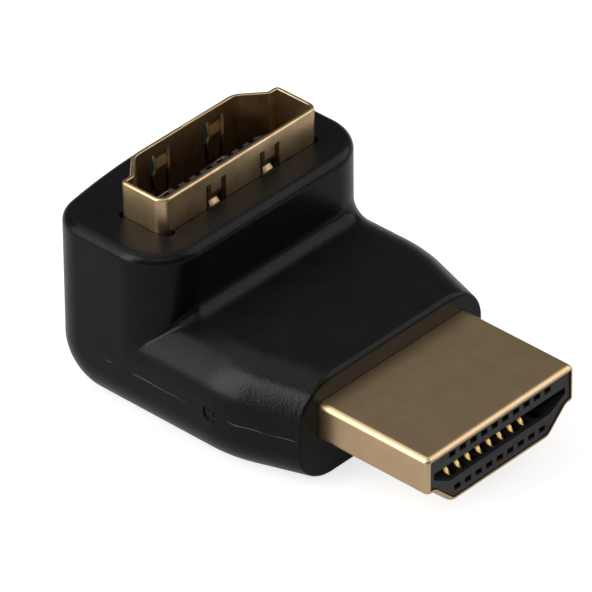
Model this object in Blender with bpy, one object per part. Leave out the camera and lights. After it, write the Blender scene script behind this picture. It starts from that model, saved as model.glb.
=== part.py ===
"""Right angle adapter: a plug and a socket joined by an elbow of moulded plastic.

The plug points along +X and the socket opens upward along +Z. The origin is on the flat base
face, below the socket, in the middle plane of the plug. The named sizes are in millimetres.
"""
import math

import bmesh
import bpy
from mathutils import Vector

MM = 0.001

# Moulded housing
BODY_WIDTH = 20.3
LEG_HEIGHT = 8.2
BODY_HEIGHT = 13.12
FRONT_X = 5.1
BACK_X = -5.55
BACK_BOW = 1.1
END_X = 15.5
EDGE_RADIUS = 3.3
UPRIGHT_RADIUS = 3.6
BACK_CORNER_RADIUS = 2.2
BASE_EDGE_RADIUS = 3.0
ELBOW_FILLET = 0.9
CREASE_FILLET = 0.3
CREASE_TURN = 35
HEEL_RADIUS = 3.6
RIM_RADIUS = 0.7
END_RIM_RADIUS = 0.4
TAPER_START_X = 10.1
TAPER_BLEND = 1.5
SIDE_TAPER = 0.29
FACE_TAPER = 0.06
GATE_MARK_X = 9.4
GATE_MARK_DIAMETER = 1.2
GATE_MARK_DEPTH = 0.12

# D-shaped outline that the plug and the socket share
PLUG_WIDTH = 13.9
PLUG_HEIGHT = 4.45
SIDE_HEIGHT = 2.8
LEDGE_WIDTH = 0.65
NARROW_WIDTH = 9.15
WIDE_CORNER_RADIUS = 0.4
LEDGE_CORNER_RADIUS = 0.37
LEDGE_HOLLOW_RADIUS = 0.5
NARROW_CORNER_RADIUS = 0.9

# Metal shells
SHEET = 0.3
PLUG_LIP_LENGTH = 0.33
PLUG_LIP_DEPTH = 0.28
SOCKET_LIP_RADIUS = 0.15
SEAM_WIDTH = 0.1
SEAM_Y = -0.2
PLUG_LENGTH = 9.2
PLUG_SHELL_TAIL = 4.5
SOCKET_LIP_Z = 15.7
SOCKET_SHIFT_Y = 0.15

# Spring fingers in the socket's two long walls
FINGER_WIDTH = 1.0
FINGER_SLOT = 0.4
FINGER_SPACING = 5.0
FINGER_OFFSET = 0.15
FINGER_DROP = 0.8
FINGER_STRAIGHT = 0.5
FINGER_CREST_DROP = 1.05
FINGER_CREST_LENGTH = 0.2
FINGER_LENGTH = 1.65
FINGER_BULGE = 0.4
FINGER_TIP_BULGE = 0.08
WINDOW_SINK = 1.6

# Solder tabs that carry the socket shell in the circuit board; STRIP_SHEET is their thickness
# and the fingers', a little less than the wall that they grow out of
TAB_WIDTH = 0.8
TAB_SPACING = 1.4
TAB_CENTRE_X = 0.7
TAB_REACH = 0.3
STRIP_SHEET = 0.26

# Slot of the plug's insulator and tongue of the socket's
SLOT_CENTRE = 0.15
SLOT_HEIGHT = 1.3
SLOT_WIDTH = 12.4
SLOT_END_HEIGHT = 0.5
SLOT_NARROW_WIDTH = 9.5
SLOT_DEPTH = 7.5
FACE_RECESS = 0.12
PLUG_BLOCK_TAIL = 4.2
TONGUE_GAP = 0.1
TONGUE_END_GAP = 0.25
TONGUE_DROP = 1.9
SOCKET_DEPTH = 7.8
STANDOFF_HEIGHT = 0.4
STANDOFF_LENGTH = 1.2

# Contacts
PITCH = 1.0
WIDE_ROW = 10
NARROW_ROW = 9
EMPTY_PLUG_PLACES = 1
CONTACT_WIDTH = 0.4
CONTACT_SHEET = 0.2
CONTACT_GAP = 0.03
CONTACT_SINK = 0.16
CHANNEL_WIDTH = 0.6
GROOVE_WIDTH = 0.5
TUNNEL_GAP = 0.1
NOSE_WALL = 0.35
NOSE_HOLE = 0.42
WIDE_HOLE_DEPTH = 0.65
NARROW_HOLE_DEPTH = 0.8
TIP_SETBACK = 0.62
TIP_DEPTH = 0.5
CREST_SETBACK = 1.2
CREST_LENGTH = 0.4
CREST_RISE = 0.15
SPRING_LENGTH = 2.2
TAIL_REACH = 2.2
SOCKET_TIP_DROP = 0.5
FOOT_LENGTH = 1.2

# Circuit board and the chamber round it
BOARD_BACK_X = -3.1
BOARD_WIDTH = 16.4
BOARD_CORNER_RADIUS = 0.5
BOARD_SETBACK = 0.6
CHAMBER_BELOW = 0.7
CHAMBER_ABOVE = 1.2
CHAMBER_GAP = 0.1

# Gap left between pieces that seat on each other, how far a cutter runs past a face, and in
# metres how near points of an outline's cap and side must lie to be one point; faces that
# meet at less than FLAT_ANGLE are one flat face
FIT_GAP = 0.05
OVERCUT = 0.5
WELD = 1e-7
FLAT_ANGLE = math.radians(1)

# How a flat outline is turned before it is placed: across and up lie along Y and Z for the
# plug, along Y and X for the socket, and along X and Z in side view
PLUG_TURN = (math.radians(90), 0.0, math.radians(90))
SOCKET_TURN = (math.radians(180), 0.0, math.radians(90))
SIDE_TURN = (math.radians(90), 0.0, 0.0)

# Facets
EDGE_FACETS = 8
BACK_FACETS = 6
ELBOW_FACETS = 7
RIM_FACETS = 4
TAPER_FACETS = 4
OUTLINE_FACETS = 4
MARK_FACETS = 20

# Places that follow from the sizes
HALF_WIDTH = BODY_WIDTH / 2
PLUG_AXIS_Z = LEG_HEIGHT / 2
PLUG_TIP_X = END_X + PLUG_LENGTH
PLUG_BACK_X = END_X - PLUG_SHELL_TAIL
PLUG_FACE_X = PLUG_TIP_X - FACE_RECESS
PLUG_BLOCK_BACK_X = END_X - PLUG_BLOCK_TAIL
PLUG_BLOCK_LENGTH = PLUG_FACE_X - PLUG_BLOCK_BACK_X
SLOT_WIDE_FACE = SLOT_CENTRE + SLOT_HEIGHT / 2
SLOT_NARROW_FACE = SLOT_CENTRE - SLOT_HEIGHT / 2
BEAM_DEPTH = CONTACT_SINK + CONTACT_SHEET / 2
BOARD_Z = PLUG_AXIS_Z + SLOT_CENTRE
BOARD_THICKNESS = SLOT_HEIGHT + 2 * (CONTACT_SINK - FIT_GAP)
BOARD_TOP_Z = BOARD_Z + BOARD_THICKNESS / 2
BOARD_BOTTOM_Z = BOARD_Z - BOARD_THICKNESS / 2
BOARD_FRONT_X = PLUG_BLOCK_BACK_X - BOARD_SETBACK
CHAMBER_FRONT_X = PLUG_BACK_X - CHAMBER_GAP
CHAMBER_TOP_Z = BOARD_TOP_Z + CHAMBER_ABOVE
SOCKET_OFFSET = FIT_GAP + SHEET
SOCKET_BASE_Z = BOARD_TOP_Z + FIT_GAP
SOCKET_FLOOR_Z = SOCKET_LIP_Z - SOCKET_DEPTH
SOCKET_WIDE_WALL_X = PLUG_HEIGHT / 2 + SOCKET_OFFSET - SHEET / 2
SOCKET_END_WALL_Y = PLUG_WIDTH / 2 + SOCKET_OFFSET - SHEET / 2
TONGUE_WIDE_FACE = SLOT_WIDE_FACE - TONGUE_GAP
TONGUE_NARROW_FACE = SLOT_NARROW_FACE + TONGUE_GAP
TONGUE_TOP_Z = SOCKET_LIP_Z - TONGUE_DROP
GROOVE_DEPTH = CONTACT_SHEET + 2 * CONTACT_GAP


def vector(point):
    """Turn a point in millimetres into a vector in metres."""
    return Vector(point) * MM


def angles(start, end, count):
    """Give count + 1 angles in radians between two angles in degrees."""
    return [math.radians(start + (end - start) * i / count) for i in range(count + 1)]


def row_places(count):
    """Give the Y places of a row of contacts, centred on the middle."""
    return [(i - (count - 1) / 2) * PITCH for i in range(count)]


def finger_places():
    """Give the Y places of the two spring fingers of a wall, from the middle of the socket."""
    return [FINGER_OFFSET + side * FINGER_SPACING / 2 for side in (-1, 1)]


def tab_places():
    """Give the X and Y places of the four solder tabs."""
    spread = (-1, 1)
    return [
        (TAB_CENTRE_X + i * TAB_SPACING / 2, SOCKET_SHIFT_Y + j * SOCKET_END_WALL_Y)
        for i in spread for j in spread
    ]


def make_material(name, colour, roughness, metallic):
    """Make a plain Principled material."""
    material = bpy.data.materials.new(name)
    material.use_nodes = True
    shader = material.node_tree.nodes["Principled BSDF"]
    shader.inputs["Base Color"].default_value = (*colour, 1.0)
    shader.inputs["Roughness"].default_value = roughness
    shader.inputs["Metallic"].default_value = metallic
    return material


def make_collection(name):
    """Make a collection in the scene."""
    collection = bpy.data.collections.new(name)
    bpy.context.scene.collection.children.link(collection)
    return collection


def add_object(name, mesh, collection, location=(0, 0, 0), turn=(0, 0, 0)):
    """Place a mesh in a collection as a named object."""
    obj = bpy.data.objects.new(name, mesh)
    obj.location = vector(location)
    obj.rotation_euler = turn
    collection.objects.link(obj)
    return obj


def finish_part(obj, material):
    """Give a piece its material and smooth it across its small facets."""
    obj.data.materials.append(material)
    obj.data.shade_smooth()
    obj.data.set_sharp_from_angle(angle=math.radians(35))
    return obj


def finish_cutter(obj):
    """Mark a solid that only cuts or joins."""
    obj.hide_render = True
    obj.display_type = "WIRE"
    return obj


def bmesh_object(name, bm, collection):
    """Turn a closed bmesh into an object."""
    bmesh.ops.recalc_face_normals(bm, faces=bm.faces)
    mesh = bpy.data.meshes.new(name)
    bm.to_mesh(mesh)
    bm.free()
    return add_object(name, mesh, collection)


def outline_object(name, outlines, thickness, location, turn, collection):
    """Extrude flat outlines about their own plane, then turn and place the solid."""
    curve = bpy.data.curves.new(name, "CURVE")
    curve.dimensions = "2D"
    curve.fill_mode = "BOTH"
    curve.extrude = thickness * MM / 2
    for outline in outlines:
        spline = curve.splines.new("POLY")
        spline.points.add(len(outline) - 1)
        for point, (a, b) in zip(spline.points, outline):
            point.co = (*vector((a, b, 0)), 1)
        spline.use_cyclic_u = True
    drawn = add_object(name + "_outline", curve, collection)
    bpy.context.view_layer.update()
    evaluated = drawn.evaluated_get(bpy.context.evaluated_depsgraph_get())
    mesh = bpy.data.meshes.new_from_object(evaluated)
    bpy.data.objects.remove(drawn)
    bm = bmesh.new()
    bm.from_mesh(mesh)
    bmesh.ops.remove_doubles(bm, verts=bm.verts, dist=WELD)
    bmesh.ops.dissolve_limit(bm, angle_limit=FLAT_ANGLE, verts=bm.verts, edges=bm.edges)
    bmesh.ops.recalc_face_normals(bm, faces=bm.faces)
    bm.to_mesh(mesh)
    bm.free()
    mesh.name = name
    return add_object(name, mesh, collection, location, turn)


def plug_solid(name, outline, back_x, front_x, collection):
    """Solid of an outline that looks along the plug, between two places on X."""
    place = ((back_x + front_x) / 2, 0, PLUG_AXIS_Z)
    return outline_object(name, [outline], front_x - back_x, place, PLUG_TURN, collection)


def socket_solid(name, outline, low_z, high_z, collection):
    """Solid of an outline that looks along the socket, between two heights."""
    place = (0, SOCKET_SHIFT_Y, (low_z + high_z) / 2)
    return outline_object(name, [outline], high_z - low_z, place, SOCKET_TURN, collection)


def box_cutter(name, boxes):
    """Cutter made of boxes, each between two opposite corners."""
    bm = bmesh.new()
    for low, high in boxes:
        size = vector(high) - vector(low)
        made = bmesh.ops.create_cube(bm, size=1.0)
        bmesh.ops.scale(bm, verts=made["verts"], vec=size)
        bmesh.ops.translate(bm, verts=made["verts"], vec=vector(low) + size / 2)
    return finish_cutter(bmesh_object(name, bm, CUTTERS))


def side_cutter(name, outlines_and_places, width):
    """Cutter made of solids that look along Y, each with its outline and its place on Y."""
    bm = bmesh.new()
    for outline, y in outlines_and_places:
        strip = outline_object(name, [outline], width, (0, y, 0), SIDE_TURN, CUTTERS)
        bpy.context.view_layer.update()
        mesh = strip.data
        mesh.transform(strip.matrix_world)
        bm.from_mesh(mesh)
        bpy.data.objects.remove(strip)
    return finish_cutter(bmesh_object(name, bm, CUTTERS))


def combine(obj, cutter, operation="DIFFERENCE"):
    """Cut a solid out of a piece, or join it to the piece."""
    modifier = obj.modifiers.new(cutter.name, "BOOLEAN")
    modifier.operation = operation
    modifier.solver = "EXACT"
    modifier.object = cutter


def plug_point(across, up, x):
    """Place a point of an outline that looks along the plug."""
    return (x, across, PLUG_AXIS_Z + up)


def socket_point(across, up, z):
    """Place a point of an outline that looks along the socket."""
    return (up, SOCKET_SHIFT_Y + across, z)


def add_loft(bm, rings, closed=False):
    """Skin rings of equal length; a closed loft joins the last ring to the first."""
    loops = [[bm.verts.new(vector(point)) for point in ring] for ring in rings]
    pairs = list(zip(loops, loops[1:]))
    if closed:
        pairs.append((loops[-1], loops[0]))
    else:
        bm.faces.new(loops[0])
        bm.faces.new(loops[-1])
    for one, other in pairs:
        for i, j in zip(range(-1, len(one) - 1), range(len(one))):
            bm.faces.new((one[i], one[j], other[j], other[i]))


def moved_corners(corners, offset):
    """Move every side of a clockwise outline outward; a corner is (a, b, radius, is_hollow)."""
    result = []
    for i, (a, b, radius, is_hollow) in enumerate(corners):
        here = Vector((a, b))
        before = (here - Vector(corners[i - 1][:2])).normalized()
        after = (Vector(corners[(i + 1) % len(corners)][:2]) - here).normalized()
        out_before = Vector((-before.y, before.x))
        out_after = Vector((-after.y, after.x))
        here += (out_before + out_after) * offset / (1 + out_before.dot(out_after))
        grown = radius - offset if is_hollow else radius + offset
        result.append((here, max(grown, FIT_GAP)))
    return result


def rounded(corners):
    """Round the corners of an outline."""
    points = []
    for i, (here, radius) in enumerate(corners):
        before = (corners[i - 1][0] - here).normalized()
        after = (corners[(i + 1) % len(corners)][0] - here).normalized()
        half = before.angle(after) / 2
        centre = here + (before + after).normalized() * (radius / math.sin(half))
        spoke = here + before * (radius / math.tan(half)) - centre
        last = here + after * (radius / math.tan(half)) - centre
        start = math.atan2(spoke.y, spoke.x)
        turn = math.atan2(spoke.cross(last), spoke.dot(last))
        for step in range(OUTLINE_FACETS + 1):
            angle = start + turn * step / OUTLINE_FACETS
            points.append((centre.x + radius * math.cos(angle), centre.y + radius * math.sin(angle)))
    return points


def connector_outline(offset):
    """Outline of the plug shell's outside, moved outward by an offset."""
    top = PLUG_HEIGHT / 2
    ledge = top - SIDE_HEIGHT
    side = PLUG_WIDTH / 2
    right = [
        (side, top, WIDE_CORNER_RADIUS, False),
        (side, ledge, LEDGE_CORNER_RADIUS, False),
        (side - LEDGE_WIDTH, ledge, LEDGE_HOLLOW_RADIUS, True),
        (NARROW_WIDTH / 2, -top, NARROW_CORNER_RADIUS, False),
    ]
    left = [(-a, b, radius, is_hollow) for a, b, radius, is_hollow in reversed(right)]
    return rounded(moved_corners(right + left, offset))


def slot_outline(gap, end_gap):
    """Outline of the plug's slot, or of the tongue that is smaller by the gaps."""
    wide = SLOT_WIDE_FACE - gap
    narrow = SLOT_NARROW_FACE + gap
    half_wide = SLOT_WIDTH / 2 - end_gap
    half_narrow = SLOT_NARROW_WIDTH / 2 - end_gap
    shoulder = wide - SLOT_END_HEIGHT
    right = [(half_wide, wide), (half_wide, shoulder), (half_narrow, narrow)]
    return right + [(-a, b) for a, b in reversed(right)]


def ribbon(path, thickness):
    """Give a thin outline along an open path of flat points."""
    points = [Vector(point) for point in path]
    headings = [(b - a).normalized() for a, b in zip(points, points[1:])]
    left = []
    right = []
    for i, here in enumerate(points):
        before = headings[max(i - 1, 0)]
        after = headings[min(i, len(headings) - 1)]
        normal_before = Vector((-before.y, before.x))
        normal_after = Vector((-after.y, after.x))
        shift = (normal_before + normal_after) * thickness / 2 / (1 + normal_before.dot(normal_after))
        left.append(tuple(here + shift))
        right.append(tuple(here - shift))
    return left + right[::-1]


def inset(ring, distance):
    """Move a counter-clockwise ring of flat points inward."""
    result = []
    for i, point in enumerate(ring):
        here = Vector(point)
        before = (here - Vector(ring[i - 1])).normalized()
        after = (Vector(ring[(i + 1) % len(ring)]) - here).normalized()
        in_before = Vector((-before.y, before.x))
        in_after = Vector((-after.y, after.x))
        here += (in_before + in_after) * distance / (1 + in_before.dot(in_after))
        result.append(tuple(here))
    return result


def back_x(y):
    """X of the bowed back wall at a place across the body."""
    return BACK_X + BACK_BOW * (y / HALF_WIDTH) ** 2


def taper_run(x):
    """Length of taper reached at a place along the leg, with a soft start."""
    run = x - TAPER_START_X
    if run <= -TAPER_BLEND:
        return 0.0
    if run >= TAPER_BLEND:
        return run
    return (run + TAPER_BLEND) ** 2 / (4 * TAPER_BLEND)


def elbow_paths():
    """Lines that run down the upright, round the elbow and along the leg.

    A path is x and y beside the upright, y and z along the leg, and its bend radius. The soft
    fillet over the flat of the leg sharpens into a crease where the rounded edges meet.
    """
    paths = []
    for angle in angles(0, 90, EDGE_FACETS):
        across = 1 - math.sin(angle)
        depth = 1 - math.cos(angle)
        upright_y = HALF_WIDTH - UPRIGHT_RADIUS * across
        leg_y = HALF_WIDTH - EDGE_RADIUS * across
        share = min(1.0, angle / math.radians(CREASE_TURN))
        bend = ELBOW_FILLET + (CREASE_FILLET - ELBOW_FILLET) * share
        x = FRONT_X - UPRIGHT_RADIUS * depth
        paths.append((x, upright_y, leg_y, LEG_HEIGHT - EDGE_RADIUS * depth, bend))
    for angle in angles(0, 90, EDGE_FACETS):
        across = 1 - math.cos(angle)
        depth = 1 - math.sin(angle)
        upright_y = HALF_WIDTH - BACK_CORNER_RADIUS * across
        leg_y = HALF_WIDTH - BASE_EDGE_RADIUS * across
        x = back_x(upright_y) + BACK_CORNER_RADIUS * depth
        bend = HEEL_RADIUS - BACK_CORNER_RADIUS * depth
        paths.append((x, upright_y, leg_y, BASE_EDGE_RADIUS * depth, bend))
    for i in range(1, BACK_FACETS // 2 + 1):
        share = 1 - 2 * i / BACK_FACETS
        upright_y = (HALF_WIDTH - BACK_CORNER_RADIUS) * share
        leg_y = (HALF_WIDTH - BASE_EDGE_RADIUS) * share
        paths.append((back_x(upright_y), upright_y, leg_y, 0.0, HEEL_RADIUS))
    mirrored = [(x, -y, -leg_y, z, bend) for x, y, leg_y, z, bend in reversed(paths[:-1])]
    return paths + mirrored


def leg_section(paths, x):
    """Section of the leg as (z, y) points, narrowed where the leg tapers."""
    run = taper_run(x)
    flat = HALF_WIDTH - EDGE_RADIUS
    section = []
    for _, _, y, z, _ in paths:
        narrowing = SIDE_TAPER * run * min(1.0, abs(y) / flat)
        squeeze = 1 - 2 * FACE_TAPER * run / LEG_HEIGHT
        section.append((PLUG_AXIS_Z + (z - PLUG_AXIS_Z) * squeeze, y - math.copysign(narrowing, y)))
    return section


def housing_rings():
    """Rings of the elbow body, from its top rim to the rim round the plug."""
    paths = elbow_paths()
    rings = []
    plan = [(x, y) for x, y, _, _, _ in paths]
    for angle in angles(90, 0, RIM_FACETS):
        z = BODY_HEIGHT - RIM_RADIUS * (1 - math.sin(angle))
        rings.append([(x, y, z) for x, y in inset(plan, RIM_RADIUS * (1 - math.cos(angle)))])
    for angle in angles(0, 90, ELBOW_FACETS):
        share = angle / math.radians(90)
        ring = []
        for x, upright_y, leg_y, z, bend in paths:
            y = upright_y + (leg_y - upright_y) * share
            ring.append((x + bend * (1 - math.cos(angle)), y, z + bend * (1 - math.sin(angle))))
        rings.append(ring)
    for i in range(TAPER_FACETS + 1):
        x = TAPER_START_X + TAPER_BLEND * (2 * i / TAPER_FACETS - 1)
        rings.append([(x, y, z) for z, y in leg_section(paths, x)])
    for angle in angles(0, 90, RIM_FACETS):
        x = END_X - END_RIM_RADIUS * (1 - math.sin(angle))
        section = inset(leg_section(paths, x), END_RIM_RADIUS * (1 - math.cos(angle)))
        rings.append([(x, y, z) for z, y in section])
    return rings


def build_housing(material):
    """Overmoulded elbow with a bore for each connector and a chamber for the board."""
    bm = bmesh.new()
    add_loft(bm, housing_rings())
    housing = finish_part(bmesh_object("housing", bm, PARTS), material)

    side = BOARD_WIDTH / 2 + CHAMBER_GAP
    low = (BOARD_BACK_X - CHAMBER_GAP, -side, BOARD_BOTTOM_Z - CHAMBER_BELOW)
    high = (CHAMBER_FRONT_X, side, CHAMBER_TOP_Z)
    combine(housing, box_cutter("board_chamber", [(low, high)]))

    outline = connector_outline(FIT_GAP)
    bore = plug_solid("plug_bore", outline, CHAMBER_FRONT_X - OVERCUT, END_X + OVERCUT, CUTTERS)
    combine(housing, finish_cutter(bore))

    outline = connector_outline(SOCKET_OFFSET + FIT_GAP)
    bore = socket_solid("socket_bore", outline, CHAMBER_TOP_Z - OVERCUT, BODY_HEIGHT + OVERCUT, CUTTERS)
    combine(housing, finish_cutter(bore))

    bm = bmesh.new()
    radius = GATE_MARK_DIAMETER / 2 * MM
    bmesh.ops.create_cone(bm, cap_ends=True, segments=MARK_FACETS, radius1=radius, radius2=radius,
                          depth=2 * GATE_MARK_DEPTH * MM)
    mark = bmesh_object("gate_mark", bm, CUTTERS)
    mark.location = vector((GATE_MARK_X, -HALF_WIDTH, PLUG_AXIS_Z))
    mark.rotation_euler = SIDE_TURN
    combine(housing, finish_cutter(mark))


def build_shell(name, place, back, lip, offset, lip_length, lip_depth, material):
    """Sheet tube of the D outline with a rounded lip and a butt seam in its narrow wall."""
    stations = [(back, offset)]
    for angle in angles(0, 90, OUTLINE_FACETS):
        level = lip - lip_length * (1 - math.sin(angle))
        stations.append((level, offset - lip_depth * (1 - math.cos(angle))))
    stations += [(lip, offset - SHEET), (back, offset - SHEET)]
    bm = bmesh.new()
    rings = [[place(a, b, level) for a, b in connector_outline(reach)] for level, reach in stations]
    add_loft(bm, rings, closed=True)
    shell = finish_part(bmesh_object(name, bm, PARTS), material)

    wall = -PLUG_HEIGHT / 2 - offset
    low = place(SEAM_Y - SEAM_WIDTH / 2, wall - SHEET, back - OVERCUT)
    high = place(SEAM_Y + SEAM_WIDTH / 2, wall + 2 * SHEET, lip + OVERCUT)
    combine(shell, box_cutter(name + "_seam", [(low, high)]))
    return shell


def finger_path(wall_x, top_z):
    """Middle line of a spring finger: down in the wall, in towards the plug and back out."""
    inward = -math.copysign(1, wall_x)
    return [
        (wall_x, top_z + FINGER_SLOT),
        (wall_x, top_z - FINGER_STRAIGHT),
        (wall_x + inward * FINGER_BULGE, top_z - FINGER_CREST_DROP),
        (wall_x + inward * FINGER_BULGE, top_z - FINGER_CREST_DROP - FINGER_CREST_LENGTH),
        (wall_x + inward * FINGER_TIP_BULGE, top_z - FINGER_LENGTH),
    ]


def build_socket_shell(material):
    """Folded sheet tube of the socket with four spring fingers and four solder tabs."""
    shell = build_shell("socket_shell", socket_point, SOCKET_BASE_Z, SOCKET_LIP_Z, SOCKET_OFFSET,
                        SOCKET_LIP_RADIUS, SOCKET_LIP_RADIUS, material)
    top_z = SOCKET_LIP_Z - FINGER_DROP
    low_z = BODY_HEIGHT - WINDOW_SINK
    half = FINGER_WIDTH / 2 + FINGER_SLOT
    windows = []
    fingers = []
    for wall_x in (SOCKET_WIDE_WALL_X, -SOCKET_WIDE_WALL_X):
        for across in finger_places():
            y = SOCKET_SHIFT_Y + across
            windows.append(((wall_x - SHEET, y - half, low_z), (wall_x + SHEET, y + half, top_z)))
            fingers.append((ribbon(finger_path(wall_x, top_z), STRIP_SHEET), y))
    combine(shell, box_cutter("finger_windows", windows))
    combine(shell, side_cutter("spring_fingers", fingers, FINGER_WIDTH), "UNION")

    low_z = BOARD_BOTTOM_Z - TAB_REACH
    high_z = SOCKET_BASE_Z + OVERCUT
    across = TAB_WIDTH / 2
    half = STRIP_SHEET / 2
    tabs = [((x - across, y - half, low_z), (x + across, y + half, high_z)) for x, y in tab_places()]
    combine(shell, box_cutter("solder_tabs", tabs), "UNION")


def channel_outline(face, side, hole_depth):
    """Side view of a contact's channel in the plug block, with the square hole at its nose."""
    hole_top = hole_depth - NOSE_HOLE / 2
    hole_bottom = hole_depth + NOSE_HOLE / 2
    tunnel_top = CONTACT_SINK - TUNNEL_GAP
    tunnel_bottom = CONTACT_SINK + CONTACT_SHEET + TUNNEL_GAP
    back = SLOT_DEPTH - TUNNEL_GAP
    past = PLUG_BLOCK_LENGTH + OVERCUT
    steps = [
        (-OVERCUT, hole_top), (NOSE_WALL, hole_top), (NOSE_WALL, -TUNNEL_GAP), (back, -TUNNEL_GAP),
        (back, tunnel_top), (past, tunnel_top), (past, tunnel_bottom), (back, tunnel_bottom),
        (back, hole_bottom), (-OVERCUT, hole_bottom),
    ]
    return [(PLUG_FACE_X - run, PLUG_AXIS_Z + face + side * depth) for run, depth in steps]


def build_plug_insulator(material):
    """Block that fills the plug shell, with the slot and a channel for each contact."""
    outline = connector_outline(-SHEET - FIT_GAP)
    block = plug_solid("plug_insulator", outline, PLUG_BLOCK_BACK_X, PLUG_FACE_X, PARTS)
    finish_part(block, material)

    outline = slot_outline(0, 0)
    slot = plug_solid("plug_slot", outline, PLUG_FACE_X - SLOT_DEPTH, PLUG_FACE_X + OVERCUT, CUTTERS)
    combine(block, finish_cutter(slot))

    wide = channel_outline(SLOT_WIDE_FACE, 1, WIDE_HOLE_DEPTH)
    narrow = channel_outline(SLOT_NARROW_FACE, -1, NARROW_HOLE_DEPTH)
    channels = [(wide, y) for y in row_places(WIDE_ROW)] + [(narrow, y) for y in row_places(NARROW_ROW)]
    combine(block, side_cutter("contact_channels", channels, CHANNEL_WIDTH))


def build_socket_insulator(material):
    """Block in the bottom of the socket shell, with the grooved tongue that enters the plug."""
    outline = connector_outline(SOCKET_OFFSET - SHEET - FIT_GAP)
    block = socket_solid("socket_insulator", outline, SOCKET_BASE_Z, SOCKET_FLOOR_Z, PARTS)
    finish_part(block, material)

    outline = slot_outline(TONGUE_GAP, TONGUE_END_GAP)
    tongue = socket_solid("tongue", outline, SOCKET_FLOOR_Z - OVERCUT, TONGUE_TOP_Z, CUTTERS)
    combine(block, finish_cutter(tongue), "UNION")

    side = PLUG_WIDTH / 2 - STANDOFF_LENGTH
    low = (-PLUG_HEIGHT, SOCKET_SHIFT_Y - side, SOCKET_BASE_Z - OVERCUT)
    high = (PLUG_HEIGHT, SOCKET_SHIFT_Y + side, SOCKET_BASE_Z + STANDOFF_HEIGHT)
    combine(block, box_cutter("foot_space", [(low, high)]))

    grooves = []
    half = GROOVE_WIDTH / 2
    for count, face, side in ((WIDE_ROW, TONGUE_WIDE_FACE, 1), (NARROW_ROW, TONGUE_NARROW_FACE, -1)):
        low_x, high_x = sorted((face + side * TUNNEL_GAP, face - side * GROOVE_DEPTH))
        for across in row_places(count):
            y = SOCKET_SHIFT_Y + across
            grooves.append(((low_x, y - half, SOCKET_BASE_Z), (high_x, y + half, TONGUE_TOP_Z + OVERCUT)))
    combine(block, box_cutter("contact_grooves", grooves))


def build_row(name, first, places, path, material):
    """Row of like strip contacts, bent along one path in side view."""
    mesh = None
    for number, y in enumerate(places, first):
        if mesh is None:
            contact = outline_object(f"{name}_{number:02d}", [ribbon(path, CONTACT_SHEET)], CONTACT_WIDTH,
                                     (0, y, 0), SIDE_TURN, PARTS)
            mesh = finish_part(contact, material).data
        else:
            add_object(f"{name}_{number:02d}", mesh, PARTS, (0, y, 0), SIDE_TURN)


def plug_contact_path(face, side):
    """Middle line of a plug contact: nose, crest that stands into the slot, beam and solder tail."""
    crest_end = CREST_SETBACK + CREST_LENGTH
    crest_depth = CONTACT_SHEET / 2 - CREST_RISE
    steps = [
        (TIP_SETBACK, TIP_DEPTH),
        (CREST_SETBACK, crest_depth),
        (crest_end, crest_depth),
        (crest_end + SPRING_LENGTH, BEAM_DEPTH),
        (PLUG_BLOCK_LENGTH + TAIL_REACH, BEAM_DEPTH),
    ]
    return [(PLUG_FACE_X - run, PLUG_AXIS_Z + face + side * depth) for run, depth in steps]


def socket_contact_path(face, side):
    """Middle line of a socket contact: blade on the tongue, then a foot on the board."""
    x = face - side * (CONTACT_GAP + CONTACT_SHEET / 2)
    foot_z = BOARD_TOP_Z + FIT_GAP + CONTACT_SHEET / 2
    return [(x, TONGUE_TOP_Z - SOCKET_TIP_DROP), (x, foot_z), (x + side * FOOT_LENGTH, foot_z)]


def build_contacts(material):
    """Both rows of contacts; the plug's last places in the narrow row stay empty."""
    wide = row_places(WIDE_ROW)
    narrow = row_places(NARROW_ROW)
    filled = narrow[:NARROW_ROW - EMPTY_PLUG_PLACES]
    build_row("plug_contact", 1, wide, plug_contact_path(SLOT_WIDE_FACE, 1), material)
    build_row("plug_contact", WIDE_ROW + 1, filled, plug_contact_path(SLOT_NARROW_FACE, -1), material)
    wide = [SOCKET_SHIFT_Y + across for across in wide]
    narrow = [SOCKET_SHIFT_Y + across for across in narrow]
    build_row("socket_contact", 1, wide, socket_contact_path(TONGUE_WIDE_FACE, 1), material)
    build_row("socket_contact", WIDE_ROW + 1, narrow, socket_contact_path(TONGUE_NARROW_FACE, -1), material)


def build_board(material):
    """Circuit board between the two rows of the plug, with slots for the socket's tabs."""
    side = BOARD_WIDTH / 2
    front = [(BOARD_FRONT_X, side), (BOARD_FRONT_X, -side)]
    back = [(BOARD_BACK_X, -side), (BOARD_BACK_X, side)]
    outline = rounded([(Vector(corner), BOARD_CORNER_RADIUS) for corner in front + back])
    place = (0, 0, BOARD_Z)
    board = outline_object("circuit_board", [outline], BOARD_THICKNESS, place, (0, 0, 0), PARTS)
    finish_part(board, material)

    reach_x = TAB_WIDTH / 2 + FIT_GAP
    reach_y = SHEET / 2 + FIT_GAP
    low_z = BOARD_BOTTOM_Z - OVERCUT
    high_z = BOARD_TOP_Z + OVERCUT
    slots = [((x - reach_x, y - reach_y, low_z), (x + reach_x, y + reach_y, high_z)) for x, y in tab_places()]
    combine(board, box_cutter("tab_slots", slots))


for old in list(bpy.data.objects):
    bpy.data.objects.remove(old, do_unlink=True)

PARTS = make_collection("right_angle_adapter")
CUTTERS = make_collection("cutters")

black_plastic = make_material("black_plastic", (0.014, 0.014, 0.016), 0.42, 0.0)
grey_plastic = make_material("grey_plastic", (0.035, 0.035, 0.042), 0.5, 0.0)
gold_plate = make_material("gold_plate", (0.52, 0.40, 0.25), 0.32, 1.0)
contact_gold = make_material("contact_gold", (0.75, 0.52, 0.22), 0.28, 1.0)
board_green = make_material("board_green", (0.02, 0.11, 0.05), 0.4, 0.0)

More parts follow.
